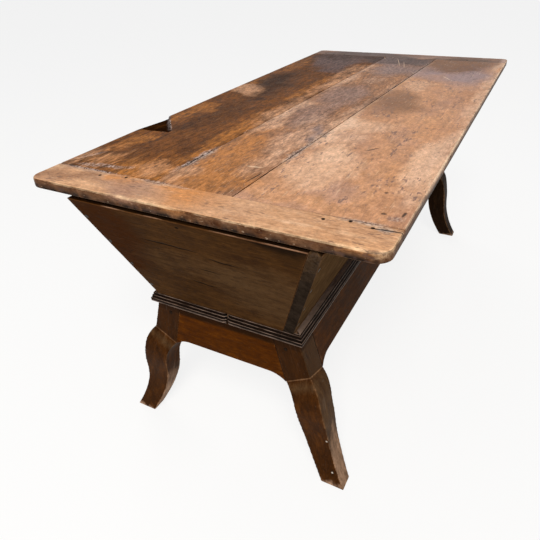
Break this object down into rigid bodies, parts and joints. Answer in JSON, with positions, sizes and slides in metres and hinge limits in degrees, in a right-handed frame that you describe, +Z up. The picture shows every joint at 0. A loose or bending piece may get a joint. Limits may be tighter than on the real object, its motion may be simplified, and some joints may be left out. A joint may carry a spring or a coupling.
{
  "type": "dough box",
  "caption": "Lidded wooden dough trough with leaning boards, on a moulded base with splayed cabriole legs; its hinged plank lid is also a table top.",
  "frame": {"origin": "on the floor under the middle of the lid", "axes": "+X across the table to the right, away from the hinges; +Y along the table; +Z up"},
  "size_m": [0.802, 1.664, 0.76],
  "materials": {
    "lid_wood": "worn waxed walnut, scratched and stained",
    "trough_wood": "dark waxed walnut with dull patina",
    "base_wood": "dark waxed walnut, polished by handling",
    "apron_wood": "warm brown waxed walnut",
    "moulding_wood": "dark waxed wood with rubbed reeds",
    "peg_wood": "dark end grain",
    "forged_iron": "blackened forged iron"
  },
  "bodies": {
    "box": {"apron_far": "apron_wood", "apron_near": "apron_wood", "draw_pegs_far": "peg_wood", "draw_pegs_near": "peg_wood", "hinge_board_leaf_far": "forged_iron", "hinge_board_leaf_near": "forged_iron", "hinge_board_nails": "forged_iron", "hinge_pin_far": "forged_iron", "hinge_pin_near": "forged_iron", "leg_far_left": "base_wood", "leg_far_right": "base_wood", "leg_near_left": "base_wood", "leg_near_right": "base_wood", "moulding_far": "moulding_wood", "moulding_left": "moulding_wood", "moulding_nails": "forged_iron", "moulding_near_left": "moulding_wood", "moulding_near_right": "moulding_wood", "moulding_right": "moulding_wood", "rail_left": "base_wood", "rail_right": "base_wood", "trough_bottom_left": "trough_wood", "trough_bottom_nails": "forged_iron", "trough_bottom_right": "trough_wood", "trough_corner_nails": "forged_iron", "trough_end_far": "trough_wood", "trough_end_near": "trough_wood", "trough_side_left": "trough_wood", "trough_side_right": "trough_wood"},
    "lid": {"hinge_lid_leaf_far": "forged_iron", "hinge_lid_leaf_near": "forged_iron", "hinge_lid_nails": "forged_iron", "lid_breadboard_far": "lid_wood", "lid_breadboard_near": "lid_wood", "lid_pegs_far": "peg_wood", "lid_pegs_near": "peg_wood", "lid_plank_left": "lid_wood", "lid_plank_middle": "lid_wood", "lid_plank_right": "lid_wood"}
  },
  "joints": [
    {"name": "lid_hinge", "type": "hinge", "parent": "box", "child": "lid", "pos_m": [-0.29904, 0, 0.7325], "axis": [0, -1, 0], "range_deg": [0, 105]}
  ]
}
